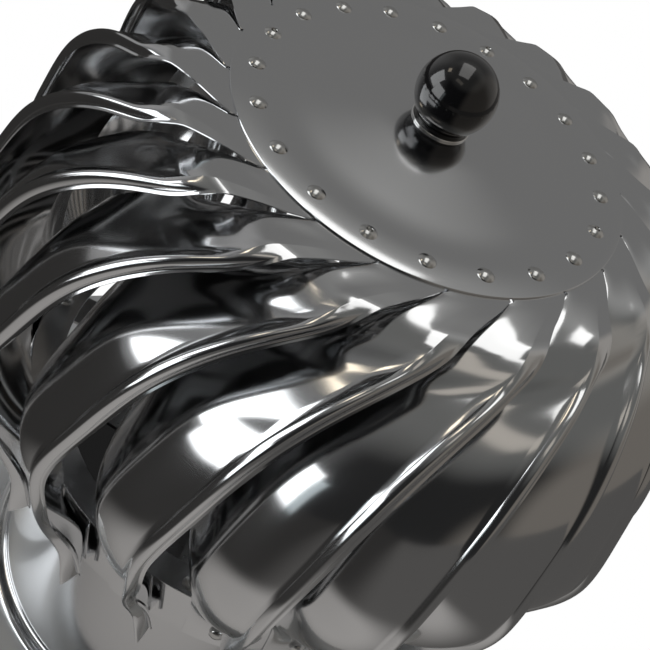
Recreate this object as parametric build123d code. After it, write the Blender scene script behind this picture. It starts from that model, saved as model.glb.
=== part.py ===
from build123d import *
import math
import os

# Rotating chimney cowl. Millimetres, Z up, origin at the middle of the plate's underside.

# Heights
RIM_Z = 306.5
DOME_RISE = 5.0
TURBINE_H = 167.5
RING_Z = RIM_Z - TURBINE_H
NECK_GAP = 9.0
NECK_TOP = RING_Z - NECK_GAP

# Standing part
PLATE_SIZE = 260.0
PLATE_T = 1.5
PLATE_CORNER = 10.0
BOLT_INSET = 20.0
BOLT_HOLE = 9.0
NECK_OUTER_R = 90.0
NECK_T = 0.8
BEAD_W = 7.0
BEAD_H = 2.4

# Turning part
VANES = 20
PITCH = 360.0 / VANES
SHEET = 0.6
DISC_R = 76.0
DISC_FLAT_R = 60.0
DISC_T = 0.8
RIVET_CIRCLE_R = 67.0
RING_OUTER_R = 107.0
RING_W = 13.0
RING_INNER_R = RING_OUTER_R - RING_W
RING_WALL = 23.0
RING_T = 0.8
CROSS_T = 1.5
CROSS_W = 16.0
LOWER_CROSS_TURN = 6.2
LOWER_RIVET_R = RING_OUTER_R - 5.5

# Rivet heads
RIVET_HEAD_R = 3.25
RIVET_HEAD_H = 1.5
RIVET_HOLE_R = 1.1
RIVET_SIDES = 12
RING_RIVET_DROP = 15.5
RING_RIVET_GAP = 0.25

# Shaft and bushes
SHAFT_R = 6.0
SHAFT_END = 1.3
STUD_R = 5.0
RUNNING_GAP = 0.05
END_GAP = 0.2
TUBE_INNER_R = 9.0
TUBE_OUTER_R = 12.0
TUBE_TOP = NECK_TOP - 6.0
TUBE_LENGTH = 59.0
TUBE_BOTTOM = TUBE_TOP - TUBE_LENGTH
BUSH_LENGTH = 12.0
FLANGE_T = 1.5
COLLAR_R = 14.0
THRUST_T = 1.2
LOCK_LENGTH = 8.0
LOCK_TOP = TUBE_BOTTOM - FLANGE_T - END_GAP
BRACKET_T = 2.0
BRACKET_FOOT = 14.0
BRACKET_INSET = 11.0

# Knob
BALL_R = 14.75
WASHER_R = 11.0
WASHER_T = 0.8
KNOB_COLLAR_H = 1.6
KNOB_SEAT_Z = RIM_Z + DOME_RISE + WASHER_T + KNOB_COLLAR_H
BALL_Z = KNOB_SEAT_Z + 10.8
KNOB_STEPS = 12

# One vane, from the tab under the disc to the tab at the ring. Angles are in degrees from
# the vane's own rivet, heights are above the rim of the disc.
# edge radius, angle, height; corner radius, angle, height, towards which the body runs on
# from the groove; inner radius, angle, height; tightness of the bend at the corner;
# width of the rib, height of the rib, how far the groove lies inside the edge
FOOT_R = RING_OUTER_R + 0.8
STATIONS = (
    (58.0, 5.0, -0.8, 58.4, -6.5, -0.8, 58.0, -12.0, -0.8, 1.0, 6.0, 0.0, 0.0),
    (77.0, 5.0, -0.8, 77.4, -7.0, -0.8, 77.0, -12.0, -0.8, 1.0, 6.0, 0.0, 0.0),
    (86.0, -3.0, -1.0, 84.5, -18.5, -3.4, 81.5, -23.0, -9.0, 1.6, 6.5, 0.0, 0.0),
    (97.5, -9.8, -2.4, 93.0, -26.8, -10.7, 87.2, -34.7, -19.7, 2.0, 7.5, 0.0, 0.0),
    (104.7, -14.2, -10.0, 101.5, -32.5, -20.5, 93.0, -43.5, -30.0, 2.0, 8.5, 2.0, 0.0),
    (120.0, -24.6, -25.8, 114.0, -39.5, -35.0, 100.0, -50.0, -42.0, 1.7, 8.5, 2.6, 0.0),
    (132.9, -31.2, -47.7, 127.5, -44.8, -51.5, 106.5, -53.8, -55.0, 1.2, 8.0, 2.8, 0.0),
    (142.0, -35.4, -79.5, 139.5, -48.5, -79.5, 114.5, -55.0, -80.0, 0.95, 7.0, 2.8, 0.0),
    (145.9, -37.4, -104.0, 145.5, -51.0, -104.0, 117.5, -55.0, -104.0, 0.8, 6.5, 2.8, 0.0),
    (140.5, -37.2, -127.0, 141.0, -50.0, -127.0, 116.0, -51.5, -127.0, 0.7, 6.0, 3.4, 0.5),
    (127.0, -37.1, -158.0, 120.8, -45.4, -158.0, 109.0, -47.5, -159.0, 0.78, 5.0, 7.0, 7.0),
    (FOOT_R + 10.5, -34.8, -174.0, FOOT_R + 1.7, -41.3, -174.0, FOOT_R, -45.5, -174.0, 1.0, 4.4, 10.0, 9.2),
    (FOOT_R + 5.2, -32.4, -191.0, FOOT_R + 1.1, -39.6, -191.0, FOOT_R, -44.5, -191.0, 1.0, 4.2, 11.0, 4.6),
)
FLAT_STATIONS = 2
RIB_STEPS = 3
BODY_STEPS = 4


def polar(radius, angle, z):
    turn = math.radians(angle)
    return Vector(radius * math.cos(turn), radius * math.sin(turn), z)


def round_the_axis(item, angle):
    return item.rotate(Axis.Z, angle)


def export(name, items):
    shape = items[0] if len(items) == 1 else Compound(children=items)
    shape.label = name
    export_step(shape, f"parts/{name}.step")


def tube(outer, inner, bottom, top):
    solid = Cylinder(outer, top - bottom, align=(Align.CENTER, Align.CENTER, Align.MIN))
    if inner > 0:
        solid -= Cylinder(inner, top - bottom, align=(Align.CENTER, Align.CENTER, Align.MIN))
    return (Pos(0, 0, bottom) * solid).solid()


def turned(points):
    outline = Polyline(*[(r, 0, z) for r, z in points], close=True)
    return revolve(make_face(outline), Axis.Z).solid()


def section(station):
    """The outer line of a vane at one station: the rib, then a conic past the corner."""
    edge_r, edge_a, edge_z, corner_r, corner_a, corner_z, inner_r, inner_a, inner_z = station[:9]
    tightness, width, height, drop = station[9:]
    edge = polar(edge_r, edge_a, RIM_Z + edge_z)
    corner = polar(corner_r, corner_a, RIM_Z + corner_z)
    inner = polar(inner_r, inner_a, RIM_Z + inner_z)
    turn = math.radians(edge_a)
    outward = Vector(math.cos(turn), math.sin(turn), 0)
    groove = edge + Vector(math.sin(turn), -math.cos(turn), 0) * width - outward * drop
    points = []
    for step in range(RIB_STEPS):
        share = step / RIB_STEPS
        lift = height * math.sin(math.pi * share) ** 0.6
        points.append(edge + (groove - edge) * share + outward * lift)
    for step in range(BODY_STEPS + 1):
        after = step / BODY_STEPS
        before = 1 - after
        pull = 2 * tightness * before * after
        total = before**2 + pull + after**2
        points.append((groove * before**2 + corner * pull + inner * after**2) / total)
    return points


def inner_side(outer):
    """The outer lines moved inwards by the sheet's thickness."""
    moved = []
    last = len(outer) - 1
    for row, line in enumerate(outer):
        new_line = []
        for column, point in enumerate(line):
            before = line[max(column - 1, 0)]
            after = line[min(column + 1, len(line) - 1)]
            above = outer[max(row - 1, 0)][column]
            below = outer[min(row + 1, last)][column]
            normal = (below - above).cross(after - before).normalized()
            if row < FLAT_STATIONS:
                normal = Vector(0, 0, -1)
            elif row == last:
                normal = Vector(normal.X, normal.Y, 0).normalized()
            new_line.append(point + normal * SHEET)
        moved.append(new_line)
    return moved


def two_triangles(a, b, c, d):
    return [
        Face(Wire.make_polygon([a, d, c])),
        Face(Wire.make_polygon([a, c, b])),
    ]


def vane():
    outer = [section(station) for station in STATIONS]
    inner = inner_side(outer)
    rows = len(outer) - 1
    columns = len(outer[0]) - 1
    faces = []
    for row in range(rows):
        for column in range(columns):
            for side in (outer, inner):
                here, below = side[row], side[row + 1]
                faces += two_triangles(here[column], here[column + 1], below[column + 1], below[column])
        for column in (0, columns):
            faces += two_triangles(
                outer[row][column], inner[row][column], inner[row + 1][column], outer[row + 1][column]
            )
    for row in (0, rows):
        for column in range(columns):
            faces += two_triangles(
                outer[row][column], outer[row][column + 1], inner[row][column + 1], inner[row][column]
            )
    return Solid(Shell(faces))


def rivet_head(hole):
    """A low faceted dome on the XY plane, with the mandrel hole if it is an open one."""
    foot = RegularPolygon(RIVET_HEAD_R, RIVET_SIDES)
    crown = RegularPolygon(RIVET_HEAD_R * 0.62, RIVET_SIDES)
    head = loft([foot.face(), Pos(0, 0, RIVET_HEAD_H) * crown.face()], ruled=True)
    if hole:
        head -= extrude(RegularPolygon(RIVET_HOLE_R, RIVET_SIDES // 2), 2 * RIVET_HEAD_H)
    return head.solid()


def dome_height(radius):
    ball = (DISC_FLAT_R**2 + DOME_RISE**2) / (2 * DOME_RISE)
    return DOME_RISE - ball + math.sqrt(ball**2 - radius**2)


def disc():
    """The disc: flat at the rim, its middle a shallow dome of three cones."""
    radii = (STUD_R, 20.0, 40.0, DISC_FLAT_R)
    top = [(r, RIM_Z + dome_height(r)) for r in radii]
    underside = [(r, z - DISC_T) for r, z in top]
    rim = [(DISC_R, RIM_Z), (DISC_R, RIM_Z - DISC_T)]
    return turned(top + rim + underside[::-1])


def disc_rivets(open_ones):
    made = []
    for index in range(VANES):
        is_open = index % (VANES // 4) == 0
        if is_open == open_ones:
            head = Pos(RIVET_CIRCLE_R, 0, RIM_Z) * rivet_head(open_ones)
            made.append(round_the_axis(head, index * PITCH))
    return made


def ring_rivets():
    """Heads on the feet of the vanes, just beside the groove."""
    upper, lower = (section(station) for station in STATIONS[-2:])
    depth = TURBINE_H + RING_RIVET_DROP
    low = (STATIONS[-2][2] + depth) / (STATIONS[-2][2] - STATIONS[-1][2])
    groove = upper[RIB_STEPS] * (1 - low) + lower[RIB_STEPS] * low
    body = upper[RIB_STEPS + 2] * (1 - low) + lower[RIB_STEPS + 2] * low
    across = (body - groove).normalized()
    up = (upper[RIB_STEPS] - lower[RIB_STEPS]).normalized()
    outward = up.cross(across).normalized()
    if outward.dot(groove) < 0:
        outward = outward * -1
    middle = groove + across * (RIVET_HEAD_R + 0.5) + outward * RING_RIVET_GAP
    seat = Plane(origin=middle, x_dir=across, z_dir=outward)
    head = seat.location * rivet_head(False)
    return [round_the_axis(head, index * PITCH) for index in range(VANES)]


def cross(reach, bore, top, turn):
    arm = Box(2 * reach, CROSS_W, CROSS_T)
    plate = arm + Rot(0, 0, 90) * arm + Cylinder(CROSS_W, CROSS_T)
    plate &= Cylinder(reach, CROSS_T)
    plate -= Cylinder(bore, 2 * CROSS_T)
    return (Rot(0, 0, turn) * (Pos(0, 0, top - CROSS_T / 2) * plate)).solid()


def lower_cross_rivets():
    head = Pos(LOWER_RIVET_R, 0, RING_Z) * rivet_head(True)
    return [round_the_axis(head, LOWER_CROSS_TURN + quarter * 90) for quarter in range(4)]


def shaft():
    low = LOCK_TOP - LOCK_LENGTH - SHAFT_END
    shoulder = RIM_Z - DISC_T - SHEET - CROSS_T
    tip = BALL_Z + 2.0
    return turned([
        (0, low),
        (SHAFT_R - 1, low),
        (SHAFT_R, low + 1),
        (SHAFT_R, shoulder),
        (STUD_R, shoulder),
        (STUD_R, tip),
        (0, tip),
    ])


def knob():
    """The ball as a stack of cones, with a flat seat and a blind bore for the stud."""
    low = math.asin((KNOB_SEAT_Z - BALL_Z) / BALL_R)
    points = []
    for step in range(KNOB_STEPS):
        turn = low + (math.pi / 2 - low) * step / KNOB_STEPS
        points.append((BALL_R * math.cos(turn), BALL_Z + BALL_R * math.sin(turn)))
    points.append((0, BALL_Z + BALL_R))
    bore = [(0, BALL_Z + 2.0), (STUD_R, BALL_Z + 2.0), (STUD_R, KNOB_SEAT_Z)]
    return turned(points + bore)


def knob_collar():
    low = RIM_Z + DOME_RISE + WASHER_T
    return turned([
        (STUD_R, low),
        (9.4, low),
        (10.3, KNOB_SEAT_Z),
        (STUD_R, KNOB_SEAT_Z),
    ])


def bush(upwards):
    seat = TUBE_TOP if upwards else TUBE_BOTTOM
    way = 1 if upwards else -1
    bore = SHAFT_R + RUNNING_GAP
    return turned([
        (bore, seat - way * BUSH_LENGTH),
        (TUBE_INNER_R, seat - way * BUSH_LENGTH),
        (TUBE_INNER_R, seat),
        (TUBE_OUTER_R, seat),
        (TUBE_OUTER_R, seat + way * FLANGE_T),
        (bore, seat + way * FLANGE_T),
    ])


def bracket(level, upwards):
    """Four flat arms from the tube to the neck, with a foot against the neck's wall."""
    reach = NECK_OUTER_R - NECK_T
    arm = Box(2 * reach, CROSS_W, BRACKET_T)
    plate = arm + Rot(0, 0, 90) * arm + Cylinder(TUBE_OUTER_R + 8, BRACKET_T)
    foot_z = (BRACKET_FOOT - BRACKET_T) / 2 * (1 if upwards else -1)
    for quarter in range(4):
        foot = Pos(reach - BRACKET_T, 0, foot_z) * Box(2 * BRACKET_T, CROSS_W, BRACKET_FOOT)
        plate += Rot(0, 0, quarter * 90) * foot
    plate &= Cylinder(reach, 4 * BRACKET_FOOT)
    plate -= Cylinder(TUBE_OUTER_R, 4 * BRACKET_T)
    return (Pos(0, 0, level) * plate).solid()


def bracket_rivets():
    height = TUBE_TOP - BRACKET_INSET + (BRACKET_FOOT - BRACKET_T) / 2
    head = Pos(NECK_OUTER_R, 0, height) * (Rot(0, 90, 0) * rivet_head(False))
    return [round_the_axis(head, quarter * 90) for quarter in range(4)]


def neck():
    inner = NECK_OUTER_R - NECK_T
    outer = NECK_OUTER_R
    foot = PLATE_T
    return turned([
        (inner, foot),
        (outer + BEAD_W, foot),
        (outer + BEAD_W * 0.85, foot + BEAD_H * 0.75),
        (outer + BEAD_W * 0.5, foot + BEAD_H),
        (outer + BEAD_W * 0.15, foot + BEAD_H * 1.15),
        (outer, foot + BEAD_H * 1.7),
        (outer, NECK_TOP),
        (inner, NECK_TOP),
    ])


def base_plate():
    outline = Rectangle(PLATE_SIZE, PLATE_SIZE)
    outline = chamfer(outline.vertices(), PLATE_CORNER)
    outline -= Circle(NECK_OUTER_R - NECK_T)
    half = PLATE_SIZE / 2 - BOLT_INSET
    for x in (-half, half):
        for y in (-half, half):
            outline -= Pos(x, y) * Circle(BOLT_HOLE / 2)
    return extrude(outline, PLATE_T).solid()


def main():
    os.makedirs("parts", exist_ok=True)
    one_vane = vane()
    for index in range(VANES):
        export(f"vane_{index + 1:02d}", [round_the_axis(one_vane, index * PITCH)])
    under_tabs = RIM_Z - DISC_T - SHEET
    hub_top = RIM_Z + DOME_RISE - DISC_T - 0.3
    flange_top = TUBE_TOP + FLANGE_T
    washer_low = flange_top + END_GAP
    cross_top = RING_Z - RING_T
    band_inner = RING_OUTER_R - RING_T
    export("top_disc", [disc()])
    export("disc_rivets", disc_rivets(False))
    export("open_rivets", disc_rivets(True))
    export("upper_cross", [cross(RIVET_CIRCLE_R + 6, STUD_R, under_tabs, 0)])
    export("upper_hub", [tube(WASHER_R, STUD_R, under_tabs, hub_top)])
    export("lower_ring", [tube(band_inner, RING_INNER_R, RING_Z - RING_T, RING_Z)])
    export("ring_band", [tube(RING_OUTER_R, band_inner, RING_Z - RING_WALL, RING_Z)])
    export("ring_rivets", ring_rivets())
    export("lower_cross", [cross(RING_OUTER_R - 2, SHAFT_R, cross_top, LOWER_CROSS_TURN)])
    export("lower_cross_rivets", lower_cross_rivets())
    export("lower_hub", [tube(COLLAR_R, SHAFT_R, washer_low + THRUST_T, cross_top - CROSS_T)])
    export("thrust_washer", [tube(TUBE_OUTER_R, SHAFT_R, washer_low, washer_low + THRUST_T)])
    export("lock_collar", [tube(TUBE_OUTER_R, SHAFT_R, LOCK_TOP - LOCK_LENGTH, LOCK_TOP)])
    export("shaft", [shaft()])
    export("knob_washer", [tube(WASHER_R, STUD_R, RIM_Z + DOME_RISE, RIM_Z + DOME_RISE + WASHER_T)])
    export("knob_collar", [knob_collar()])
    export("knob", [knob()])
    export("bearing_tube", [tube(TUBE_OUTER_R, TUBE_INNER_R, TUBE_BOTTOM, TUBE_TOP)])
    export("upper_bush", [bush(True)])
    export("lower_bush", [bush(False)])
    export("upper_bracket", [bracket(TUBE_TOP - BRACKET_INSET, True)])
    export("bracket_rivets", bracket_rivets())
    export("lower_bracket", [bracket(TUBE_BOTTOM + BRACKET_INSET, False)])
    export("neck", [neck()])
    export("base_plate", [base_plate()])


main()
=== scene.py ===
import math

import bmesh
import bpy
import numpy as np
from mathutils import Matrix


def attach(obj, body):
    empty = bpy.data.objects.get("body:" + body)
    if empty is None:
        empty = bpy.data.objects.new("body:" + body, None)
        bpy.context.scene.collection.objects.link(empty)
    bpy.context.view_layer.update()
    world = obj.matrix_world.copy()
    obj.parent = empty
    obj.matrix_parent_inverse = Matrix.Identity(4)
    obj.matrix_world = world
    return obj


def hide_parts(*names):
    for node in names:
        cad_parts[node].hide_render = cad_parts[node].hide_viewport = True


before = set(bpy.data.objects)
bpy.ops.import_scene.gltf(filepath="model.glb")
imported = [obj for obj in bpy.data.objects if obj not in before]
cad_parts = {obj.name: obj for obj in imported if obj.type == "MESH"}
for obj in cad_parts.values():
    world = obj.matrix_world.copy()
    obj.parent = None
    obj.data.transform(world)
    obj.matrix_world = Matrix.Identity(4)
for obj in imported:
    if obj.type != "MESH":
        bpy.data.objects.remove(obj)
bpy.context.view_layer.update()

bl_info = {
    "name": "Rotating chimney cowl",
    "version": (1, 0, 0),
    "blender": (4, 5, 0),
    "location": "3D View > Sidebar > Cowl",
    "description": "Smooth vanes, rivets, knob and sheet parts of a rotating chimney cowl, with its studio",
    "category": "Object",
}

MM = 0.001

# Heights in millimetres above the underside of the base plate
RIM_Z = 306.5
RING_Z = 139.0
RING_LOW = 116.0
NECK_TOP = 130.0
PLATE_TOP = 1.5

# Sizes in millimetres
PLAIN_SHEET = 0.8
DISC_R = 76.0
DOME_R, DOME_H = 62.0, 5.0
WASHER_R, WASHER_T = 11.0, 0.8
SHAFT_HOLE_R = 5.0
RIVET_R, RIVET_H, RIVET_EDGE = 3.25, 1.5, 0.06
RIVET_HOLE_R = 1.1
DISC_RIVETS_R = 67.0
KNOB_R, KNOB_Z, KNOB_SEAT_Z = 14.75, RIM_Z + 18.2, RIM_Z + 7.4
RING_IN_R, RING_BEND_R, RING_OUT_R = 94.0, 106.2, 107.0
NECK_R, NECK_FOOT_R = 90.0, 96.9
VANES = 20
PITCH = 360.0 / VANES

# One vane, from the tab under the disc to the tab at the ring. Angles are in degrees from
# the vane's own rivet, heights in millimetres above the rim of the disc.
# edge radius, angle, height; corner radius, angle, height, towards which the body runs on
# from the groove; inner radius, angle, height; tightness of the bend at the corner;
# width of the rib, height of the rib, how far the groove lies inside the edge
STATIONS = np.array((
    (58.0, 5.0, -0.8, 58.4, -6.5, -0.8, 58.0, -12.0, -0.8, 1.0, 6.0, 0.0, 0.0),
    (68.0, 5.0, -0.8, 68.4, -6.0, -0.8, 68.0, -12.0, -0.8, 1.0, 6.0, 0.0, 0.0),
    (77.0, 5.0, -0.85, 77.0, -11.4, -0.87, 77.0, -12.0, -0.9, 2.0, 6.0, 0.0, 0.0),
    (81.5, 1.0, -0.9, 80.8, -15.6, -1.2, 79.0, -17.8, -4.2, 3.2, 6.2, 0.0, 0.0),
    (86.0, -3.0, -1.0, 84.8, -19.9, -2.4, 81.5, -23.0, -9.0, 3.4, 6.5, 0.0, 0.0),
    (92.5, -7.3, -1.3, 89.3, -24.0, -5.4, 84.5, -29.5, -14.5, 3.4, 7.0, 0.0, 0.0),
    (96.6, -9.3, -1.9, 92.6, -26.6, -8.9, 86.7, -33.6, -18.5, 3.2, 7.4, 0.0, 0.0),
    (99.2, -10.5, -3.5, 95.1, -28.2, -12.0, 88.4, -36.5, -21.5, 3.0, 7.7, 0.2, 0.0),
    (101.5, -11.7, -5.4, 97.5, -29.8, -15.0, 90.0, -39.5, -24.5, 2.8, 8.0, 0.8, 0.0),
    (104.7, -14.2, -10.0, 101.5, -32.5, -20.5, 93.0, -43.5, -30.0, 2.5, 8.5, 2.0, 0.0),
    (112.0, -19.5, -17.0, 107.5, -36.0, -27.5, 96.5, -47.0, -36.0, 1.9, 8.5, 2.5, 0.0),
    (120.0, -24.6, -25.8, 114.0, -39.5, -35.0, 100.0, -50.0, -42.0, 1.7, 8.5, 2.6, 0.0),
    (132.9, -31.2, -47.7, 127.5, -44.8, -51.5, 106.5, -53.8, -55.0, 1.2, 8.0, 2.7, 0.0),
    (142.0, -35.4, -79.5, 139.5, -48.5, -79.5, 114.5, -55.0, -80.0, 0.95, 7.0, 2.6, 0.0),
    (145.9, -37.4, -104.0, 145.5, -51.0, -104.0, 117.5, -55.0, -104.0, 0.8, 6.5, 2.55, 0.0),
    (140.5, -37.2, -127.0, 141.0, -50.0, -127.0, 116.0, -51.5, -127.0, 0.7, 6.0, 3.4, 0.5),
    (127.0, -37.1, -158.0, 120.8, -45.4, -158.0, 109.0, -47.5, -159.0, 0.78, 5.0, 7.0, 7.0),
    (118.3, -34.8, -174.0, 109.5, -41.3, -174.0, 107.8, -45.5, -174.0, 1.0, 4.4, 10.0, 9.2),
    (113.0, -32.4, -191.0, 108.9, -39.6, -191.0, 107.8, -44.5, -191.0, 1.0, 4.2, 10.6, 4.6),
))
FLAT_STATIONS = 3  # stations of the straight part under the disc
FLAT_ROWS = 7  # rows of the mesh there
RIB_STATION = 6  # where the rib begins
EDGE_BAND = 0.22  # share of the rib's width that is the flat band at the edge
RIB_COLUMNS, BODY_COLUMNS = 14, 22

# Names of the nodes that keep their CAD mesh, with the finish each one gets
PLAIN_NODES = {
    "upper_cross": "strap", "lower_cross": "strap", "upper_bracket": "strap", "lower_bracket": "strap",
    "upper_hub": "turned", "lower_hub": "turned", "lock_collar": "turned", "shaft": "turned",
    "bearing_tube": "turned", "thrust_washer": "bronze", "upper_bush": "bronze", "lower_bush": "bronze",
}


# ---- curves and meshes

def natural_spline(knots, values, at):
    """Values of the natural cubic spline through (knots, values), at the places in at."""
    count = len(knots)
    step = np.diff(knots)[:, None]
    slope = np.diff(values, axis=0) / step
    system = np.eye(count)
    right = np.zeros((count, values.shape[1]))
    for i in range(1, count - 1):
        system[i, i - 1] = step[i - 1, 0]
        system[i, i] = 2 * (step[i - 1, 0] + step[i, 0])
        system[i, i + 1] = step[i, 0]
        right[i] = 6 * (slope[i] - slope[i - 1])
    bend = np.linalg.solve(system, right)
    span = np.clip(np.searchsorted(knots, at) - 1, 0, count - 2)
    width = step[span]
    before = (at - knots[span])[:, None]
    after = (knots[span + 1] - at)[:, None]
    cubic = bend[span] * after**3 + bend[span + 1] * before**3
    left = (values[span] / width - bend[span] * width / 6) * after
    return cubic / (6 * width) + left + (values[span + 1] / width - bend[span + 1] * width / 6) * before


def unit(vectors):
    return vectors / np.maximum(np.linalg.norm(vectors, axis=-1, keepdims=True), 1e-12)


def turned(points, degrees):
    """Points turned about the Z axis."""
    c, s = math.cos(math.radians(degrees)), math.sin(math.radians(degrees))
    x, y, z = points[..., 0], points[..., 1], points[..., 2]
    return np.stack((c * x - s * y, s * x + c * y, z), -1)


def polar(radius, degrees, z):
    a = np.radians(degrees)
    return np.stack((radius * np.cos(a), radius * np.sin(a), z), -1)


def new_mesh_object(name, points, faces, uvs=None, sharp=35.0, rim=None):
    """An object at the origin from points in millimetres and faces; uvs has one pair a point.
    Edges are sharp past an angle or, where rim is given, where rim holds one value above 0
    at both ends."""
    mesh = bpy.data.meshes.new(name)
    mesh.from_pydata((np.asarray(points) * MM).tolist(), [], faces)
    if uvs is not None:
        layer = mesh.uv_layers.new(name="UVMap")
        index = np.zeros(len(mesh.loops), np.int32)
        mesh.loops.foreach_get("vertex_index", index)
        layer.data.foreach_set("uv", np.asarray(uvs, np.float32)[index].ravel())
    mesh.polygons.foreach_set("use_smooth", [True] * len(mesh.polygons))
    if rim is None:
        mesh.set_sharp_from_angle(angle=math.radians(sharp))
    else:
        ends = np.zeros(2 * len(mesh.edges), np.int32)
        mesh.edges.foreach_get("vertices", ends)
        first, last = np.asarray(rim)[ends.reshape(-1, 2)].T
        mesh.edges.foreach_set("use_edge_sharp", (first > 0) & (first == last))
    mesh.update()
    made = bpy.data.objects.new(name, mesh)
    bpy.context.scene.collection.objects.link(made)
    return made


def lathe(profile, steps):
    """(points, faces, uvs) of a closed (radius, height) profile turned about Z; point i, j is
    (r_i cos a_j, r_i sin a_j, z_i) with a_j = 2 pi j / steps. Radius 0 closes at a pole."""
    profile = np.asarray(profile, float)
    count = len(profile)
    angle = np.linspace(0, 2 * np.pi, steps, endpoint=False)
    pole = profile[:, 0] <= 1e-9
    first = np.concatenate(([0], np.cumsum(np.where(pole, 1, steps))[:-1]))
    length = np.concatenate(([0], np.cumsum(np.linalg.norm(np.diff(profile, axis=0), axis=1)))) * MM
    radius, height = profile[:, :1], np.broadcast_to(profile[:, 1:], (count, steps))
    kept = ~pole[:, None] | (np.arange(steps) == 0)
    points = np.stack((radius * np.cos(angle), radius * np.sin(angle), height), -1)[kept]
    around = np.broadcast_to(angle / (2 * np.pi), (count, steps))
    uvs = np.stack((around, np.broadcast_to(length[:, None], (count, steps))), -1)[kept]
    j = np.arange(steps)
    k = (j + 1) % steps
    faces = []
    for here, there, at_pole, to_pole in zip(first, np.roll(first, -1), pole, np.roll(pole, -1)):
        if at_pole and to_pole:
            continue
        if at_pole:
            corners = (np.full(steps, here), there + k, there + j)
        elif to_pole:
            corners = (here + j, here + k, np.full(steps, there))
        else:
            corners = (here + j, here + k, there + k, there + j)
        faces += np.stack(corners, -1).tolist()
    return points, faces, uvs


def arc(centre, radius, first, last, steps):
    """Points of an arc in the (radius, height) plane, angles in degrees from the outward axis."""
    a = np.radians(np.linspace(first, last, steps))
    return [(centre[0] + radius * math.cos(t), centre[1] + radius * math.sin(t)) for t in a]


def finish_piece(piece, body, nodes, material):
    piece.data.materials.clear()
    piece.data.materials.append(material)
    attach(piece, body)
    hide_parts(*nodes)


# ---- the vane

def vane_lines(rows, rib_steps, body_steps):
    """Outer lines of one vane. Across a line: a flat edge band, the rib, a rounded wave of height
    h sin(pi t)^0.75 down to the groove, then the conic (a^2 G + 2 w a b C + b^2 I) /
    (a^2 + 2 w a b + b^2) with a + b = 1, from the groove G past the corner C to the inner edge I,
    tighter as w grows. Along the vane: straight under the disc, natural splines from its rim."""
    edge = polar(STATIONS[:, 0], STATIONS[:, 1], STATIONS[:, 2])
    corner = polar(STATIONS[:, 3], STATIONS[:, 4], STATIONS[:, 5])
    inner = polar(STATIONS[:, 6], STATIONS[:, 7], STATIONS[:, 8])
    length = np.concatenate(([0], np.cumsum(np.linalg.norm(np.diff(edge, axis=0), axis=1))))
    values = np.column_stack((edge, corner, inner, STATIONS[:, 9:]))
    rim = FLAT_STATIONS - 1
    flat_at = np.linspace(0, length[rim], FLAT_ROWS)[:-1]
    flat = np.stack([np.interp(flat_at, length, column) for column in values.T], -1)
    at = np.linspace(length[rim], length[-1], rows)
    fine = np.concatenate((flat, natural_spline(length[rim:], values[rim:], at)))
    at = np.concatenate((flat_at, at))
    edge, corner, inner = fine[:, :3], fine[:, 3:6], fine[:, 6:9]
    tight, width = fine[:, 9:10], fine[:, 10:11]
    height, drop = np.maximum(fine[:, 11:12], 0), np.maximum(fine[:, 12:13], 0)
    height[at < length[RIB_STATION]] = 0
    out = unit(edge * (1, 1, 0))
    along = np.stack((out[:, 1], -out[:, 0], np.zeros(len(out))), -1)
    groove = edge + along * width - out * drop
    inward = unit(np.cross(np.gradient(groove, axis=0), groove - edge))
    inward *= -np.sign((inward * out).sum(1, keepdims=True) + 1e-9)
    inward = unit(inward - along * (inward * along).sum(1, keepdims=True))
    lines = [edge, edge + (groove - edge) * EDGE_BAND / 2]
    for turn in np.linspace(0, math.pi, rib_steps, endpoint=False):
        share = (1 - math.cos(turn)) / 2
        lift = height * math.sin(math.pi * share) ** 0.75
        lines.append(edge + (groove - edge) * (EDGE_BAND + (1 - EDGE_BAND) * share) - inward * lift)
    for b in np.linspace(0, 1, body_steps + 1):
        a = 1 - b
        pull = 2 * tight * a * b
        lines.append((a * a * groove + pull * corner + b * b * inner) / (a * a + pull + b * b))
    lines = np.stack(lines, 1)
    lines[..., 2] += RIM_Z
    return lines


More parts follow.
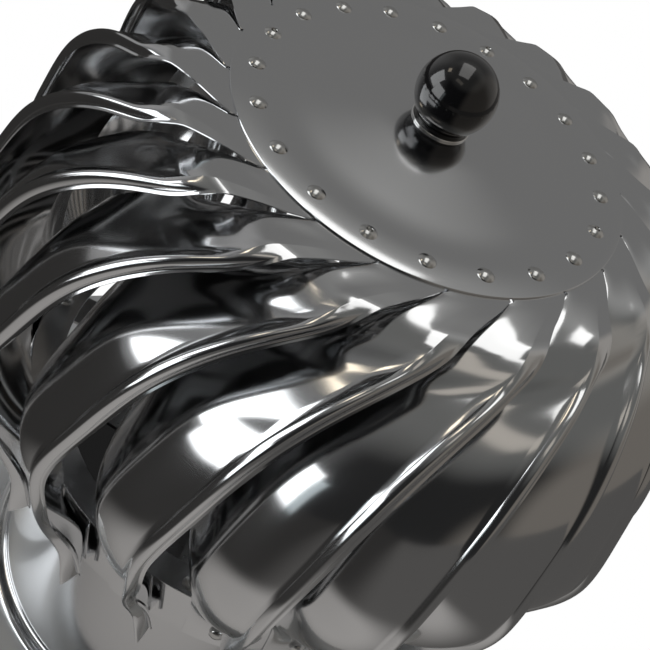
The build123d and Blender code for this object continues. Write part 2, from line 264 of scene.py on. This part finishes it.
def sheet_shell(outer, thickness, flat_rows):
    """(points, faces, uvs, rim) of a closed sheet: outer grid, the grid moved inwards along the
    surface normals, and a border. The first rows move straight down and the last row level.
    rim is 1 on the outer grid's border, 2 on the inner one's."""
    rows, columns = outer.shape[:2]
    normal = unit(np.cross(np.gradient(outer, axis=0), np.gradient(outer, axis=1)))
    normal[:flat_rows] = (0, 0, -1)
    normal[-1, :, 2] = 0
    normal = unit(normal)
    inner = outer + normal * thickness
    points = np.concatenate((outer.reshape(-1, 3), inner.reshape(-1, 3)))
    across = np.concatenate((np.zeros((rows, 1)), np.cumsum(np.linalg.norm(np.diff(outer, axis=1), axis=2), 1)), 1)
    down = np.concatenate((np.zeros((1, columns)), np.cumsum(np.linalg.norm(np.diff(outer, axis=0), axis=2), 0)), 0)
    uvs = np.stack((across, down), -1).reshape(-1, 2) * MM
    i, j = np.meshgrid(np.arange(rows - 1), np.arange(columns - 1), indexing="ij")
    a = (i * columns + j).ravel()
    size = rows * columns
    top = np.stack((a, a + columns, a + columns + 1, a + 1), -1)
    low = np.stack((a, a + 1, a + columns + 1, a + columns), -1) + size
    p = np.arange(rows - 1) * columns
    q = p + columns - 1
    sides = np.stack((np.stack((p, p + size, p + size + columns, p + columns), -1),
                      np.stack((q, q + columns, q + size + columns, q + size), -1)), 1).reshape(-1, 4)
    p = np.arange(columns - 1)
    q = (rows - 1) * columns + p
    ends = np.stack((np.stack((p, p + 1, p + 1 + size, p + size), -1),
                     np.stack((q, q + size, q + 1 + size, q + 1), -1)), 1).reshape(-1, 4)
    faces = np.concatenate((top, low, sides, ends))
    rim = np.ones((rows, columns), int)
    rim[1:-1, 1:-1] = 0
    return points, faces.tolist(), np.concatenate((uvs, uvs)), np.concatenate((rim.ravel(), 2 * rim.ravel()))


# ---- materials

def node(tree, kind, **values):
    made = tree.nodes.new(kind)
    for key, value in values.items():
        if key in made.inputs:
            made.inputs[key].default_value = value
        else:
            setattr(made, key, value)
    return made


def metal(name, colour, roughness, spread, grain, wave=0.0, streak=(40.0, 40.0, 40.0)):
    """Steel: roughness varies by spread in streaks, a faint grain and, if asked, a slow wave
    of the sheet bend the reflections. Patterns lie on Object coordinates."""
    material = bpy.data.materials.new(name)
    material.use_nodes = True
    tree = material.node_tree
    tree.nodes.clear()
    out = node(tree, "ShaderNodeOutputMaterial")
    bsdf = node(tree, "ShaderNodeBsdfPrincipled")
    bsdf.inputs["Metallic"].default_value = 1.0
    place = node(tree, "ShaderNodeTexCoord")
    stretch = node(tree, "ShaderNodeMapping")
    stretch.inputs["Scale"].default_value = streak
    fine = node(tree, "ShaderNodeTexNoise")
    fine.inputs["Scale"].default_value = 12.0
    fine.inputs["Detail"].default_value = 6.0
    broad = node(tree, "ShaderNodeTexNoise")
    broad.inputs["Scale"].default_value = 22.0
    broad.inputs["Detail"].default_value = 2.0
    rough = node(tree, "ShaderNodeMapRange")
    rough.inputs["To Min"].default_value = max(roughness - spread, 0.02)
    rough.inputs["To Max"].default_value = roughness + spread
    shade = node(tree, "ShaderNodeMix", data_type="RGBA")
    shade.inputs["A"].default_value = (*[c * 0.94 for c in colour], 1)
    shade.inputs["B"].default_value = (*colour, 1)
    links = tree.links
    links.new(place.outputs["Object"], stretch.inputs["Vector"])
    links.new(stretch.outputs["Vector"], fine.inputs["Vector"])
    links.new(place.outputs["Object"], broad.inputs["Vector"])
    links.new(fine.outputs["Fac"], rough.inputs["Value"])
    links.new(rough.outputs["Result"], bsdf.inputs["Roughness"])
    links.new(broad.outputs["Fac"], shade.inputs["Factor"])
    links.new(shade.outputs["Result"], bsdf.inputs["Base Color"])
    small = node(tree, "ShaderNodeBump")
    small.inputs["Strength"].default_value = grain
    small.inputs["Distance"].default_value = 0.0002
    links.new(fine.outputs["Fac"], small.inputs["Height"])
    last = small
    if wave > 0:
        slow = node(tree, "ShaderNodeBump")
        slow.inputs["Strength"].default_value = wave
        slow.inputs["Distance"].default_value = 0.002
        links.new(broad.outputs["Fac"], slow.inputs["Height"])
        links.new(small.outputs["Normal"], slow.inputs["Normal"])
        last = slow
    links.new(last.outputs["Normal"], bsdf.inputs["Normal"])
    links.new(bsdf.outputs["BSDF"], out.inputs["Surface"])
    return material


def plastic(name, colour, roughness, coat):
    """Moulded plastic with a faint unevenness and a clear gloss on top."""
    material = bpy.data.materials.new(name)
    material.use_nodes = True
    tree = material.node_tree
    tree.nodes.clear()
    out = node(tree, "ShaderNodeOutputMaterial")
    bsdf = node(tree, "ShaderNodeBsdfPrincipled")
    bsdf.inputs["Base Color"].default_value = (*colour, 1)
    bsdf.inputs["Coat Weight"].default_value = coat
    bsdf.inputs["Coat Roughness"].default_value = 0.04
    place = node(tree, "ShaderNodeTexCoord")
    noise = node(tree, "ShaderNodeTexNoise")
    noise.inputs["Scale"].default_value = 300.0
    noise.inputs["Detail"].default_value = 4.0
    rough = node(tree, "ShaderNodeMapRange")
    rough.inputs["To Min"].default_value = roughness * 0.8
    rough.inputs["To Max"].default_value = roughness * 1.2
    bump = node(tree, "ShaderNodeBump")
    bump.inputs["Strength"].default_value = 0.02
    bump.inputs["Distance"].default_value = 0.0002
    links = tree.links
    links.new(place.outputs["Object"], noise.inputs["Vector"])
    links.new(noise.outputs["Fac"], rough.inputs["Value"])
    links.new(noise.outputs["Fac"], bump.inputs["Height"])
    links.new(rough.outputs["Result"], bsdf.inputs["Roughness"])
    links.new(bump.outputs["Normal"], bsdf.inputs["Normal"])
    links.new(bsdf.outputs["BSDF"], out.inputs["Surface"])
    return material


def settings():
    return bpy.context.scene.cowl


def sheet_material(name, roughness=None):
    known = bpy.data.materials.get(name)
    if known:
        return known
    set_ = settings()
    rough = set_.sheet_roughness if roughness is None else roughness
    return metal(name, tuple(set_.sheet_colour), rough, 0.03, 0.04, wave=set_.sheet_wave)


# ---- settings and operators

class CowlSettings(bpy.types.PropertyGroup):
    sheet_colour: bpy.props.FloatVectorProperty(
        name="Sheet colour", description="How much the polished sheet mirrors, by colour",
        subtype="COLOR", default=(0.58, 0.58, 0.57))
    sheet_roughness: bpy.props.FloatProperty(
        name="Sheet roughness", description="How blurred the sheet's reflections are",
        subtype="FACTOR", default=0.10, min=0.02, max=1.0)
    sheet_wave: bpy.props.FloatProperty(
        name="Sheet unevenness", description="How far slow waves of the sheet bend its reflections",
        subtype="FACTOR", default=0.05, min=0.0, max=1.0)
    knob_colour: bpy.props.FloatVectorProperty(
        name="Knob colour", description="Colour of the ball knob",
        subtype="COLOR", default=(0.006, 0.006, 0.007))
    vane_rows: bpy.props.IntProperty(
        name="Rows along a vane", description="Rows of the mesh from the disc's rim to the foot",
        default=110, min=20, max=400)
    thickness: bpy.props.FloatProperty(
        name="Vane thickness", description="Thickness of the vanes' sheet in millimetres",
        default=0.5, min=0.2, max=2.0)


class COWL_OT_vanes(bpy.types.Operator):
    """Twenty smooth pressed vanes in place of the faceted ones"""
    bl_idname = "cowl.vanes"
    bl_label = "Vanes"

    def execute(self, context):
        set_ = context.scene.cowl
        outer = vane_lines(set_.vane_rows, RIB_COLUMNS, BODY_COLUMNS)
        material = sheet_material("vane_sheet")
        for index in range(VANES):
            points, faces, uvs, rim = sheet_shell(turned(outer, index * PITCH), set_.thickness, FLAT_ROWS)
            piece = new_mesh_object(f"vane_skin_{index + 1:02d}", points, faces, uvs, rim=rim)
            finish_piece(piece, "rotor", [f"vane_{index + 1:02d}"], material)
        return {"FINISHED"}


class COWL_OT_disc(bpy.types.Operator):
    """The top disc: flat rim, a 5 mm dome whose slope grows and fades as sin^2, softened edge"""
    bl_idname = "cowl.disc"
    bl_label = "Top disc"

    def execute(self, context):
        u = np.linspace(0, 1, 52)
        radii = np.concatenate(((SHAFT_HOLE_R,), WASHER_R + (DOME_R - WASHER_R) * u))
        slope = np.sin(math.pi / 2 * np.clip(np.minimum(u, 1 - u) / 0.3, 0, 1)) ** 2
        fall = np.concatenate(((0.0, 0.0), np.cumsum(slope[1:] + slope[:-1])))
        rise = DOME_H * (1 - fall / fall[-1])
        top = [(r, RIM_Z + z) for r, z in zip(radii, rise)]
        edge = [(DISC_R - 0.25, RIM_Z), (DISC_R - 0.07, RIM_Z - 0.07), (DISC_R, RIM_Z - 0.25),
                (DISC_R, RIM_Z - PLAIN_SHEET)]
        low = [(r, z - PLAIN_SHEET) for r, z in reversed(top)]
        points, faces, uvs = lathe((top + edge + low)[::-1], 256)
        piece = new_mesh_object("disc_skin", points, faces, uvs)
        finish_piece(piece, "rotor", ["top_disc"], sheet_material("disc_sheet", 0.15))
        return {"FINISHED"}


def rivet_profile(is_open):
    """(radius, height) of a blind rivet's head: a plain dome, or a ring round the mandrel's stump."""
    dome = (RIVET_R**2 + RIVET_H**2) / (2 * RIVET_H)
    centre = RIVET_H - dome
    inner = RIVET_HOLE_R + 0.35 if is_open else 0.2
    radii = np.linspace(RIVET_R, inner, 9 if is_open else 10)
    skirt = [(RIVET_R, 0.0), (RIVET_R, RIVET_EDGE)]
    slopes = [(r, centre + math.sqrt(dome**2 - r * r)) for r in radii[1:]]
    if not is_open:
        return skirt + slopes + [(0.0, RIVET_H), (0.0, 0.0)]
    hole = RIVET_HOLE_R
    rim_z = centre + math.sqrt(dome**2 - hole**2)
    lip = [(hole + 0.12, rim_z - 0.02), (hole, rim_z - 0.16)]
    depth = 0.15
    stump = [(hole, depth + 0.1), (hole - 0.1, depth), (0.55, depth), (0.45, 0.6), (0.0, 0.7)]
    return skirt + slopes + lip + stump + [(0.0, 0.0)]


class COWL_OT_rivets(bpy.types.Operator):
    """Rivet heads on the disc, the feet of the vanes, the lower cross and the neck"""
    bl_idname = "cowl.rivets"
    bl_label = "Rivets"

    def execute(self, context):
        steel = metal("rivet_metal", (0.66, 0.66, 0.65), 0.2, 0.05, 0.08)
        closed = lathe(rivet_profile(False), 36)
        opened = lathe(rivet_profile(True), 36)
        disc_seats = [Matrix.Rotation(math.radians(PITCH * i), 4, "Z") @ Matrix.Translation((DISC_RIVETS_R, 0, RIM_Z))
                      for i in range(VANES)]
        self.heads("disc_rivet_heads", closed, [m for i, m in enumerate(disc_seats) if i % 5], "rotor",
                   "disc_rivets", steel)
        self.heads("open_rivet_heads", opened, disc_seats[::5], "rotor", "open_rivets", steel)
        for node_name, head, body in (("ring_rivets", closed, "rotor"), ("lower_cross_rivets", opened, "rotor"),
                                      ("bracket_rivets", closed, "base")):
            seats = self.seats_of(node_name)
            self.heads(node_name + "_heads", head, seats, body, node_name, steel)
        return {"FINISHED"}

    def seats_of(self, node_name):
        """A seat for each solid of a node: its loose parts, each with its axis from its flat foot."""
        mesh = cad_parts[node_name].data
        co = np.zeros(3 * len(mesh.vertices))
        mesh.vertices.foreach_get("co", co)
        co = co.reshape(-1, 3) / MM
        key = np.round(co, 2)
        _, same = np.unique(key, axis=0, return_inverse=True)
        same = same.ravel()
        group = np.arange(same.max() + 1)
        loops = np.zeros(len(mesh.loops), np.int32)
        mesh.loops.foreach_get("vertex_index", loops)
        triangles = same[loops.reshape(-1, 3)]
        for _ in range(30):
            low = group[triangles].min(1)
            before = group.copy()
            for column in range(3):
                np.minimum.at(group, triangles[:, column], low)
            group = group[group]
            if np.array_equal(before, group):
                break
        seats = []
        for label in np.unique(group):
            chosen = triangles[group[triangles[:, 0]] == label]
            place = np.zeros((len(group), 3))
            place[same] = co
            corners = place[chosen]
            normal = np.cross(corners[:, 1] - corners[:, 0], corners[:, 2] - corners[:, 0])
            area = np.linalg.norm(normal, axis=1)
            direction = normal / np.maximum(area[:, None], 1e-9)
            agree = ((direction @ direction.T) > 0.9995) @ area
            flat = direction @ direction[agree.argmax()] > 0.9995
            foot = np.average(corners[flat].mean(1), axis=0, weights=area[flat])
            seats.append(seat_matrix(foot, -direction[agree.argmax()]))
        return seats

    def heads(self, name, head, seats, body, node_name, material):
        points, faces, uvs = head
        places = [np.array(seat) for seat in seats]
        all_points = np.concatenate([points @ m[:3, :3].T + m[:3, 3] for m in places])
        shifts = [len(points) * i for i in range(len(seats))]
        all_faces = [[corner + shift for corner in face] for shift in shifts for face in faces]
        piece = new_mesh_object(name, all_points, all_faces, np.tile(uvs, (len(seats), 1)), sharp=50.0)
        finish_piece(piece, body, [node_name], material)


def seat_matrix(foot, axis):
    """A matrix whose Z is axis and whose origin is foot."""
    z = unit(np.asarray(axis))
    x = unit(np.cross((0.0, 0.0, 1.0) if abs(z[2]) < 0.9 else (0.0, 1.0, 0.0), z))
    y = np.cross(z, x)
    m = np.eye(4)
    m[:3, 0], m[:3, 1], m[:3, 2], m[:3, 3] = x, y, z, foot
    return Matrix(m.tolist())


class COWL_OT_knob(bpy.types.Operator):
    """The ball knob, its flared collar and the bright washer under it"""
    bl_idname = "cowl.knob"
    bl_label = "Knob"

    def execute(self, context):
        set_ = context.scene.cowl
        black = plastic("knob_black", tuple(set_.knob_colour), 0.12, 1.0)
        low = math.degrees(math.asin((KNOB_SEAT_Z - KNOB_Z) / KNOB_R))
        ball = arc((0, KNOB_Z), KNOB_R, low, 89.5, 64)
        profile = [(0.0, KNOB_SEAT_Z)] + ball + [(0.0, KNOB_Z + KNOB_R)]
        piece = new_mesh_object("knob_ball", *lathe(profile, 128))
        finish_piece(piece, "rotor", ["knob"], black)
        washer_low = RIM_Z + DOME_H
        collar_low = washer_low + WASHER_T
        profile = [(SHAFT_HOLE_R, collar_low), (9.3, collar_low), (9.4, collar_low + 0.15), (9.7, KNOB_SEAT_Z - 0.6),
                   (10.3, KNOB_SEAT_Z), (SHAFT_HOLE_R, KNOB_SEAT_Z)]
        piece = new_mesh_object("knob_foot", *lathe(profile, 96))
        dark = plastic("dark_collar", (0.01, 0.01, 0.011), 0.3, 0.3)
        finish_piece(piece, "rotor", ["knob_collar"], dark)
        profile = [(SHAFT_HOLE_R, washer_low), (WASHER_R - 0.15, washer_low), (WASHER_R, washer_low + 0.15),
                   (WASHER_R, collar_low - 0.18), (WASHER_R - 0.18, collar_low), (SHAFT_HOLE_R, collar_low)]
        piece = new_mesh_object("knob_washer_ring", *lathe(profile, 128))
        bright = metal("washer_steel", (0.85, 0.85, 0.84), 0.12, 0.02, 0.03)
        finish_piece(piece, "rotor", ["knob_washer"], bright)
        return {"FINISHED"}


class COWL_OT_ring(bpy.types.Operator):
    """The lower ring and its band, which the feet of the vanes stand round"""
    bl_idname = "cowl.ring"
    bl_label = "Lower ring"

    def execute(self, context):
        steel = sheet_material("ring_sheet")
        profile = [(RING_IN_R, RING_Z - PLAIN_SHEET), (RING_BEND_R, RING_Z - PLAIN_SHEET), (RING_BEND_R, RING_Z),
                   (RING_IN_R + 0.2, RING_Z), (RING_IN_R, RING_Z - 0.2)]
        piece = new_mesh_object("ring_top", *lathe(profile, 256))
        finish_piece(piece, "rotor", ["lower_ring"], steel)
        profile = [(RING_BEND_R, RING_LOW), (RING_OUT_R - 0.1, RING_LOW), (RING_OUT_R, RING_LOW + 0.1),
                   (RING_OUT_R, RING_Z - 0.35), (RING_OUT_R - 0.1, RING_Z - 0.1), (RING_OUT_R - 0.35, RING_Z),
                   (RING_BEND_R, RING_Z)]
        piece = new_mesh_object("ring_wall", *lathe(profile, 256))
        finish_piece(piece, "rotor", ["ring_band"], steel)
        return {"FINISHED"}


class COWL_OT_neck(bpy.types.Operator):
    """The round neck with the bead at its foot"""
    bl_idname = "cowl.neck"
    bl_label = "Neck"

    def execute(self, context):
        foot = PLATE_TOP
        inner_r = NECK_R - PLAIN_SHEET
        bead = [(r, foot + (z - foot) * 0.85) for r, z in arc((NECK_FOOT_R - 3.0, foot + 0.3), 3.0, 0, 90, 8)]
        # outward from the neck's wall and up from the plate
        hollow = [(NECK_R + out, foot + up) for out, up in
                  ((3.0, 2.75), (2.0, 2.6), (1.2, 2.75), (0.6, 3.1), (0.2, 3.7), (0.0, 4.08))]
        profile = [(inner_r, foot), (NECK_FOOT_R, foot)] + bead + hollow
        profile += [(NECK_R, NECK_TOP - 0.2), (NECK_R - 0.2, NECK_TOP), (inner_r, NECK_TOP)]
        piece = new_mesh_object("neck_skin", *lathe(profile, 256))
        finish_piece(piece, "base", ["neck"], sheet_material("neck_sheet"))
        return {"FINISHED"}


class COWL_OT_plate(bpy.types.Operator):
    """The square base plate with a softened rim, its four holes and the round opening"""
    bl_idname = "cowl.plate"
    bl_label = "Base plate"

    def execute(self, context):
        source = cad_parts["base_plate"]
        mesh = source.data.copy()
        piece = bpy.data.objects.new("plate_skin", mesh)
        context.scene.collection.objects.link(piece)
        work = bmesh.new()
        work.from_mesh(mesh)
        bmesh.ops.remove_doubles(work, verts=work.verts, dist=1e-6)
        bmesh.ops.dissolve_limit(work, angle_limit=math.radians(1.0), verts=work.verts, edges=work.edges)
        work.to_mesh(mesh)
        work.free()
        bevel = piece.modifiers.new("edge", "BEVEL")
        bevel.width = 0.25 * MM
        bevel.segments = 2
        bevel.limit_method = "ANGLE"
        bevel.angle_limit = math.radians(60)
        context.view_layer.update()
        shaped = bpy.data.meshes.new_from_object(piece.evaluated_get(context.evaluated_depsgraph_get()))
        piece.modifiers.clear()
        piece.data = shaped
        shaped.polygons.foreach_set("use_smooth", [True] * len(shaped.polygons))
        shaped.set_sharp_from_angle(angle=math.radians(30))
        finish_piece(piece, "base", ["base_plate"], sheet_material("plate_sheet", 0.22))
        return {"FINISHED"}


class COWL_OT_inner(bpy.types.Operator):
    """Finishes for the crosses, brackets, hubs, shaft and bushes"""
    bl_idname = "cowl.inner"
    bl_label = "Inner parts"

    def execute(self, context):
        finishes = {
            "strap": metal("strap_steel", (0.50, 0.50, 0.50), 0.3, 0.08, 0.2),
            "turned": metal("turned_steel", (0.55, 0.55, 0.56), 0.25, 0.06, 0.2, streak=(10.0, 10.0, 400.0)),
            "bronze": metal("bush_bronze", (0.50, 0.32, 0.14), 0.35, 0.08, 0.3),
        }
        for name, kind in PLAIN_NODES.items():
            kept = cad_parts[name]
            if not kept.data.materials:
                kept.data.materials.append(None)
            for place in kept.material_slots:
                place.link = "OBJECT"
                place.material = finishes[kind]
        return {"FINISHED"}


class COWL_OT_stage(bpy.types.Operator):
    """Camera at the photograph's view, floor, studio lights and surroundings"""
    bl_idname = "cowl.stage"
    bl_label = "Studio"

    def execute(self, context):
        scene = context.scene
        self.camera(scene)
        self.floor(scene)
        self.world(scene)
        self.lights(scene)
        scene.view_settings.view_transform = "Standard"
        return {"FINISHED"}

    def camera(self, scene):
        data = bpy.data.cameras.new("camera")
        data.sensor_width = 36.0
        data.lens = 70.783
        data.clip_start = 0.01
        made = bpy.data.objects.new("camera", data)
        scene.collection.objects.link(made)
        made.matrix_world = Matrix((
            (0.85003, -0.52652, 0.01424, 0.009574),
            (0.37197, 0.58093, -0.72396, -0.381438),
            (0.37291, 0.62070, 0.68968, 0.561603),
            (0, 0, 0, 1),
        ))
        scene.camera = made

    def floor(self, scene):
        """A floor that glows: white to the camera, with a painted shadow under the neck; in the reflections painted
        light, a grey pool before the cowl, lighter towards +X, dim elsewhere.
        """
        mesh = bpy.data.meshes.new("floor")
        half, low = 4.0, -0.0005
        mesh.from_pydata([(-half, -half, low), (half, -half, low), (half, half, low), (-half, half, low)],
                         [], [(0, 1, 2, 3)])
        made = bpy.data.objects.new("floor", mesh)
        scene.collection.objects.link(made)
        material = bpy.data.materials.new("floor")
        material.use_nodes = True
        tree = material.node_tree
        tree.nodes.clear()
        out = node(tree, "ShaderNodeOutputMaterial")
        light = node(tree, "ShaderNodeEmission", Color=(1, 1, 1, 1), Strength=1.0)
        # painted floor light: the glow the floor shows in reflections stands in for lamplight falling on it
        dim = node(tree, "ShaderNodeEmission", Color=(1.0, 0.96, 0.92, 1))
        place = node(tree, "ShaderNodeTexCoord")
        # painted pool of light: the glow is 0.27 within 0.14 m of a spot before the cowl and fades out by 0.36 m
        reach = node(tree, "ShaderNodeVectorMath", operation="DISTANCE")
        reach.inputs[1].default_value = (0.02, -0.33, 0.0)
        fall = node(tree, "ShaderNodeMapRange", interpolation_type="SMOOTHSTEP")
        for key, value in (("From Min", 0.14), ("From Max", 0.36), ("To Min", 0.27), ("To Max", 0.0)):
            fall.inputs[key].default_value = value
        split = node(tree, "ShaderNodeSeparateXYZ")
        # painted light: the floor's glow grows from 0.03 to 0.09 towards +X, as if that side were lit more
        painted_side_light = node(tree, "ShaderNodeMapRange", interpolation_type="SMOOTHSTEP")
        for key, value in (("From Min", -0.2), ("From Max", 0.25), ("To Min", 0.03), ("To Max", 0.09)):
            painted_side_light.inputs[key].default_value = value
        # painted shadow: the floor under the neck lies in the dark, so its glow is cut to 0.012 there, both to the
        # camera and in reflections
        radius = node(tree, "ShaderNodeVectorMath", operation="LENGTH")
        painted_neck_shadow = node(tree, "ShaderNodeMapRange")
        for key, value in (("From Min", 0.090), ("From Max", 0.096), ("To Min", 0.012), ("To Max", 1.0)):
            painted_neck_shadow.inputs[key].default_value = value
        shaded = node(tree, "ShaderNodeMath", operation="MULTIPLY")
        tree.links.new(place.outputs["Object"], radius.inputs[0])
        tree.links.new(radius.outputs["Value"], painted_neck_shadow.inputs["Value"])
        tree.links.new(painted_neck_shadow.outputs["Result"], light.inputs["Strength"])
        total = node(tree, "ShaderNodeMath", operation="ADD")
        tree.links.new(place.outputs["Object"], reach.inputs[0])
        tree.links.new(place.outputs["Object"], split.inputs["Vector"])
        tree.links.new(reach.outputs["Value"], fall.inputs["Value"])
        tree.links.new(split.outputs["X"], painted_side_light.inputs["Value"])
        tree.links.new(fall.outputs["Result"], total.inputs[0])
        tree.links.new(painted_side_light.outputs["Result"], total.inputs[1])
        tree.links.new(total.outputs["Value"], shaded.inputs[0])
        tree.links.new(painted_neck_shadow.outputs["Result"], shaded.inputs[1])
        tree.links.new(shaded.outputs["Value"], dim.inputs["Strength"])
        path = node(tree, "ShaderNodeLightPath")
        mix = node(tree, "ShaderNodeMixShader")
        tree.links.new(path.outputs["Is Camera Ray"], mix.inputs["Fac"])
        tree.links.new(dim.outputs["Emission"], mix.inputs[1])
        tree.links.new(light.outputs["Emission"], mix.inputs[2])
        tree.links.new(mix.outputs["Shader"], out.inputs["Surface"])
        mesh.materials.append(material)

    def world(self, scene):
        """A dark room with a grey wall behind the cowl and a dim warm one at its right."""
        world = bpy.data.worlds.new("studio")
        world.use_nodes = True
        scene.world = world
        tree = world.node_tree
        tree.nodes.clear()
        links = tree.links
        out = node(tree, "ShaderNodeOutputWorld")
        path = node(tree, "ShaderNodeLightPath")
        seen = node(tree, "ShaderNodeBackground", Color=(1, 1, 1, 1), Strength=1.0)
        around = node(tree, "ShaderNodeBackground", Strength=1.0)
        place = node(tree, "ShaderNodeTexCoord")
        split = node(tree, "ShaderNodeSeparateXYZ")
        links.new(place.outputs["Generated"], split.inputs["Vector"])
        colour = None
        # axis, from, to, colour added where the direction lies past them
        for axis, low, high, added in (
            ("Y", 0.05, 0.55, (0.155, 0.153, 0.15)),
            ("X", 0.30, 0.62, (0.14, 0.126, 0.11)),
            ("X", -0.45, -0.80, (0.13, 0.13, 0.13)),
            ("Z", 0.62, 0.85, (0.11, 0.11, 0.105)),
        ):
            step = node(tree, "ShaderNodeMapRange", interpolation_type="SMOOTHSTEP")
            step.inputs["From Min"].default_value = low
            step.inputs["From Max"].default_value = high
            links.new(split.outputs[axis], step.inputs["Value"])
            scaled = node(tree, "ShaderNodeVectorMath", operation="SCALE")
            scaled.inputs[0].default_value = added
            links.new(step.outputs["Result"], scaled.inputs["Scale"])
            total = node(tree, "ShaderNodeVectorMath", operation="ADD")
            links.new(scaled.outputs["Vector"], total.inputs[0])
            if colour is None:
                total.inputs[1].default_value = (0.018, 0.018, 0.018)
            else:
                links.new(colour, total.inputs[1])
            colour = total.outputs["Vector"]
        links.new(colour, around.inputs["Color"])
        mix = node(tree, "ShaderNodeMixShader")
        links.new(path.outputs["Is Camera Ray"], mix.inputs["Fac"])
        links.new(around.outputs["Background"], mix.inputs[1])
        links.new(seen.outputs["Background"], mix.inputs[2])
        links.new(mix.outputs["Shader"], out.inputs["Surface"])

    def lights(self, scene):
        """Panels given by direction and angular size; power = radiance x pi x area."""
        distance = 2.0
        # name, azimuth, elevation, width, height and roll in degrees, radiance, colour
        for name, azimuth, elevation, wide, high, roll, radiance, colour in (
            ("window", -76.0, 20.0, 29.0, 34.0, 0.0, 2.0, (0.97, 0.99, 1.0)),
            ("window_low", -46.0, 0.0, 30.0, 42.0, 0.0, 1.9, (0.97, 0.99, 1.0)),
            ("window_side", -28.0, 2.0, 7.0, 30.0, 0.0, 0.55, (0.86, 0.97, 1.0)),
            ("overhead", -147.0, 78.6, 26.0, 42.0, -33.0, 1.1, (1.0, 0.99, 0.97)),
            ("lamp", -90.0, 49.0, 10.0, 7.0, 0.0, 1.8, (1.0, 0.86, 0.66)),
            ("warm_panel", -18.0, 62.0, 20.0, 8.0, 0.0, 0.35, (1.0, 0.90, 0.78)),
        ):
            data = bpy.data.lights.new(name, "AREA")
            data.shape = "RECTANGLE"
            data.size = 2 * distance * math.tan(math.radians(wide / 2))
            data.size_y = 2 * distance * math.tan(math.radians(high / 2))
            data.energy = radiance * math.pi * data.size * data.size_y
            data.color = colour
            made = bpy.data.objects.new(name, data)
            scene.collection.objects.link(made)
            a, e = math.radians(azimuth), math.radians(elevation)
            back = np.array((math.sin(a) * math.cos(e), -math.cos(a) * math.cos(e), math.sin(e)))
            made.matrix_world = light_matrix(back * distance + (0, 0, 0.22), back, math.radians(roll))


def light_matrix(place, back, roll):
    """Z towards back, X level and then turned about Z by roll."""
    level = unit(np.cross((0.0, 0.0, 1.0), back))
    x = level * math.cos(roll) + np.cross(back, level) * math.sin(roll)
    m = np.eye(4)
    m[:3, 0], m[:3, 1], m[:3, 2], m[:3, 3] = x, np.cross(back, x), back, place
    return Matrix(m.tolist())


class COWL_PT_panel(bpy.types.Panel):
    bl_label = "Rotating chimney cowl"
    bl_idname = "COWL_PT_panel"
    bl_space_type = "VIEW_3D"
    bl_region_type = "UI"
    bl_category = "Cowl"

    def draw(self, context):
        for name in CowlSettings.__annotations__:
            self.layout.prop(context.scene.cowl, name)
        for operator in OPERATORS:
            self.layout.operator(operator.bl_idname)


OPERATORS = (COWL_OT_vanes, COWL_OT_disc, COWL_OT_rivets, COWL_OT_knob, COWL_OT_ring, COWL_OT_neck, COWL_OT_plate,
             COWL_OT_inner, COWL_OT_stage)


def register():
    bpy.utils.register_class(CowlSettings)
    for operator in OPERATORS:
        bpy.utils.register_class(operator)
    bpy.utils.register_class(COWL_PT_panel)
    bpy.types.Scene.cowl = bpy.props.PointerProperty(type=CowlSettings)


def unregister():
    del bpy.types.Scene.cowl
    bpy.utils.unregister_class(COWL_PT_panel)
    for operator in reversed(OPERATORS):
        bpy.utils.unregister_class(operator)
    bpy.utils.unregister_class(CowlSettings)


def main():
    register()
    for operator in OPERATORS:
        group, name = operator.bl_idname.split(".")
        getattr(getattr(bpy.ops, group), name)()


if __name__ == "__main__":
    main()
